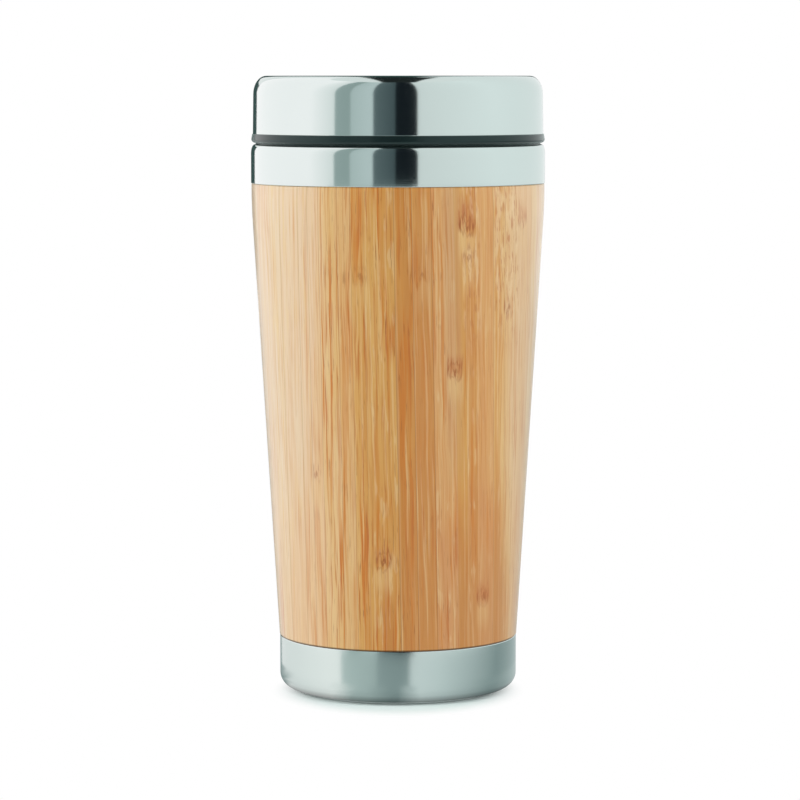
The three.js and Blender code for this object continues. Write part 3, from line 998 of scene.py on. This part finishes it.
# Low cards: first and last turn in degrees, with a colour at each
LOW_CARDS = (
    (-190, -157, (0.3, 0.37, 0.37), (0.36, 0.43, 0.43)),
    (-157, -56, (0.95, 0.95, 0.95), (1.22, 1.17, 1.16)),
    (-56, -20, (0.62, 0.7, 0.69), (0.5, 0.58, 0.57)),
    (-20, 11, (0.36, 0.43, 0.43), (0.31, 0.38, 0.38)),
    (11, 40, (0.86, 0.9, 0.9), (0.74, 0.8, 0.8)),
    (40, 110, (0.74, 0.8, 0.8), (0.3, 0.37, 0.37)),
    (110, 172, (0.3, 0.37, 0.37), (0.6, 0.66, 0.66)),
)


def card(name, columns):
    """A card through columns of points and colours, which shows in reflections and nowhere else."""
    count = len(columns[0])
    spots = [spot for column in columns for spot in column]
    faces = []
    for i in range(len(columns) - 1):
        for j in range(i * count, i * count + count - 1):
            faces.append((j, j + count, j + count + 1, j + 1))
    mesh = bpy.data.meshes.new(name)
    mesh.from_pydata([point for point, tint in spots], [], faces)
    layer = mesh.color_attributes.new("tint", "FLOAT_COLOR", "POINT")
    for corner, (point, tint) in zip(layer.data, spots):
        corner.color = (*tint, 1)
    mesh.materials.append(card_light)
    piece = new_piece(name, mesh)
    piece.visible_camera = False
    piece.visible_diffuse = False
    piece.visible_transmission = False
    piece.visible_shadow = False


def sweep(start, end, first, last):
    """Steps between two turns in degrees, 0 at the camera and 90 at +X, and between two colours."""
    steps = 12
    for step in range(steps + 1):
        share = step / steps
        turn = math.radians(start + (end - start) * share)
        tint = tuple(a + (b - a) * share for a, b in zip(first, last))
        yield math.sin(turn), -math.cos(turn), tint


def side_card(name, start, end, first, last=None, low=CARD_MIDDLE, high=CARD_TOP):
    """An upright curved card."""
    columns = []
    for x, y, tint in sweep(start, end, first, last or first):
        far_x, far_y = CARD_DISTANCE * x, CARD_DISTANCE * y
        columns.append([((far_x, far_y, height), tint) for height in (low, high)])
    card(name, columns)


def low_tint(turn):
    """Colour of the low cards at a turn in degrees."""
    for start, end, first, last in LOW_CARDS:
        if start <= turn <= end:
            share = (turn - start) / (end - start)
            return [a + (b - a) * share for a, b in zip(first, last)]
    return LOW_CARDS[0][2] if turn < LOW_CARDS[0][0] else LOW_CARDS[-1][3]


def near_card():
    """A lying card round the base, seen only in reflections, in the low cards' colours, with painted
    shade where the base would shade the floor.
    """
    # Painted shade: nearly black under the base, brightening outwards
    rings = ((-5 * mm, 0.06), (1 * mm, 0.85), (8 * mm, 0.95), (25 * mm, 1.0))
    blur = (-9, -3, 3, 9)
    columns = []
    for turn in range(-180, 181, 3):
        x = math.sin(math.radians(turn))
        y = -math.cos(math.radians(turn))
        column = []
        for away, level in rings:
            radius = base_radius + away
            # The low card's turn over this one's, as the base mirrors them
            spread = 2 * radius / (radius + away)
            samples = [low_tint(spread * turn + shift) for shift in blur]
            tint = [level * sum(parts) / len(blur) for parts in zip(*samples)]
            column.append(((radius * x, radius * y, 0.1 * mm), tint))
        columns.append(column)
    card("low_near", columns)


def flat_card(name, left, right, front, back, height, tint):
    card(name, [[((x, y, height), tint) for y in (front, back)] for x in (left, right)])


def floor():
    """A white floor that keeps the object's shadow and runs into the white surround."""
    size = 6
    mesh = bpy.data.meshes.new("floor")
    corners = [(-size, -size), (size, -size), (size, size), (-size, size)]
    mesh.from_pydata([(x, y, -0.02 * mm) for x, y in corners], [], [(0, 1, 2, 3)])
    material = bpy.data.materials.new("white_floor")
    material.use_nodes = True
    tree = material.node_tree
    tree.nodes.clear()
    wire = Wire(tree)

    # The shadow keeps to an oval round the foot, a little narrower than deep and moved forwards
    narrowing = 1.2
    forwards = 7 * mm
    dark_edge = base_radius - 4 * mm
    light_edge = base_radius + 10 * mm
    least_glow = 0.05
    x, y, _ = place(wire)
    wide = x * narrowing
    deep = y + forwards
    away = (wide * wide + deep * deep).math("SQRT").rise(dark_edge, light_edge)
    matt = wire.node("ShaderNodeBsdfDiffuse", {"Color": (0.89, 0.95, 0.94, 1)})
    # Painted shade: inside the oval the camera sees this darker floor colour on top of the real shadow
    shade = wire.node("ShaderNodeBsdfDiffuse", {"Color": (0.74, 0.84, 0.82, 1)})
    glow = wire.node("ShaderNodeEmission", {"Color": (1, 1, 1, 1), "Strength": 1.0})
    seen = wire.node("ShaderNodeLightPath").out("Is Camera Ray")
    bright = least_glow + (1 - least_glow) * away
    shown = wire.node("ShaderNodeMixShader", {0: bright, 1: shade, 2: glow})
    both = wire.node("ShaderNodeMixShader", {0: seen, 1: matt, 2: shown})
    wire.node("ShaderNodeOutputMaterial", {"Surface": both})
    mesh.materials.append(material)
    ground = new_piece("floor", mesh)
    ground.visible_glossy = False


def lamp(name, location, size, power):
    """A round lamp, aimed at the middle of the object, that no reflection shows."""
    light = bpy.data.lights.new(name, "AREA")
    light.shape = "DISK"
    light.size = size
    light.energy = power
    lamp_object = bpy.data.objects.new(name, light)
    bpy.context.scene.collection.objects.link(lamp_object)
    lamp_object.location = location
    aim = (cad_box[0] + cad_box[1]) / 2 - lamp_object.location
    lamp_object.rotation_euler = aim.to_track_quat("-Z", "Y").to_euler()
    lamp_object.visible_glossy = False


def world():
    """White where it is seen or mirrored, and a soft even light elsewhere."""
    surround = bpy.data.worlds.new("white_surround")
    bpy.context.scene.world = surround
    surround.use_nodes = True
    tree = surround.node_tree
    tree.nodes.clear()
    wire = Wire(tree)
    path = wire.node("ShaderNodeLightPath")
    seen = path.out("Is Camera Ray").math("MAXIMUM", path.out("Is Glossy Ray"))
    seen = seen.math("MAXIMUM", path.out("Is Transmission Ray"))
    soft_level = 0.45
    level = soft_level + seen * (1 - soft_level)
    light = wire.node("ShaderNodeBackground", {"Color": (1, 1, 1, 1), "Strength": level})
    wire.node("ShaderNodeOutputWorld", {"Surface": light})


def studio():
    world()
    floor()
    lamp("left", (-1.5, -0.5, 0.7), size=1.2, power=15)
    lamp("right", (1.5, -0.5, 0.7), size=1.2, power=13)
    lamp("top", (0, -0.3, 1.7), size=1.0, power=9)
    white, edge = (1.33, 1.24, 1.26), (1.0, 1.0, 1.0)
    side_card("bright_left", -150, -72, white)
    side_card("bright_edge", -72, -50, white, edge)
    side_card("grey_left", -50, -37, (0.41, 0.49, 0.485), (0.38, 0.46, 0.45))
    side_card("pale_left", -37, -19, (0.58, 0.66, 0.66), (0.7, 0.77, 0.78))
    side_card("dark_front", -19, -2, (0.14, 0.18, 0.19), (0.08, 0.11, 0.12))
    side_card("black_front", -2, 15, (0.01, 0.014, 0.018))
    side_card("pale_right", 15, 80, (0.9, 0.92, 0.92), (1.03, 1.06, 1.06))
    side_card("far_right", 80, 172, (1.03, 1.06, 1.06), (0.95, 0.97, 0.97))
    dark = (0.05, 0.09, 0.085)
    side_card("dark_back", 172, 210, dark, low=0.02, high=0.4)
    side_card("dark_back_tall", 172, 192, dark, low=0.4)
    for start, end, first, last in LOW_CARDS:
        side_card("low_side", start, end, first, last, CARD_BOTTOM, CARD_MIDDLE)
    near_card()
    flat_card("black_top", -0.45, 0.5, -1.35, 1.35, CARD_TOP, (0.02, 0.025, 0.025))


def camera():
    """The photograph's view: slightly down from the height of the lid."""
    distance = 982.6 * mm
    height = 174.93 * mm
    aside = 0.57 * mm
    pitch = 5.34
    focal_length = 3428.3 / 800  # in picture widths
    view = bpy.data.cameras.new("photograph")
    view.sensor_width = 36
    view.lens = focal_length * view.sensor_width
    eye = bpy.data.objects.new("photograph", view)
    bpy.context.scene.collection.objects.link(eye)
    eye.location = (aside, -distance, height)
    eye.rotation_euler = (math.radians(90 - pitch), 0, 0)
    bpy.context.scene.camera = eye


# Making

camera()

polished = steel("polished_steel", (0.62, 0.71, 0.69), 0.09, 5000.0, 0.003 * mm, dish_flat, 0.36)
satin = steel("satin_steel", (0.62, 0.71, 0.69), 0.17, 4000.0, 0.006 * mm)
drawn = steel("drawn_steel", (0.66, 0.7, 0.69), 0.36, 3000.0, 0.008 * mm, metal=0.55)
black = plastic("black_moulding", (0.003, 0.007, 0.0072), 0.13, 0.4)
black_satin = plastic("black_satin", (0.003, 0.007, 0.0072), 0.36, 0.25)
milky = silicone()

dress(foot_pad(rubber()), "foot_pad")
dress(base_cap(satin), "base_cap")
dress(sleeve(bamboo()), "bamboo_sleeve")
dress(collar(polished), "collar_band")
dress(liner(drawn), "inner_liner")
dress(lid_body(black_satin), "lid_body")
dress(lid_cap(polished), "lid_cap")
dress(lid_seal(milky), "lid_seal")
dress(slider_track(black), "slider_track")
dress(slider(black), "slider")
dress(slider_seal(milky), "slider_seal")
grip_ribs(black)

shell = frame["nodes"]["outer_shell"]
shell.data.materials.clear()
shell.data.materials.append(satin)

studio()

scene = bpy.context.scene
scene.view_settings.view_transform = "Standard"
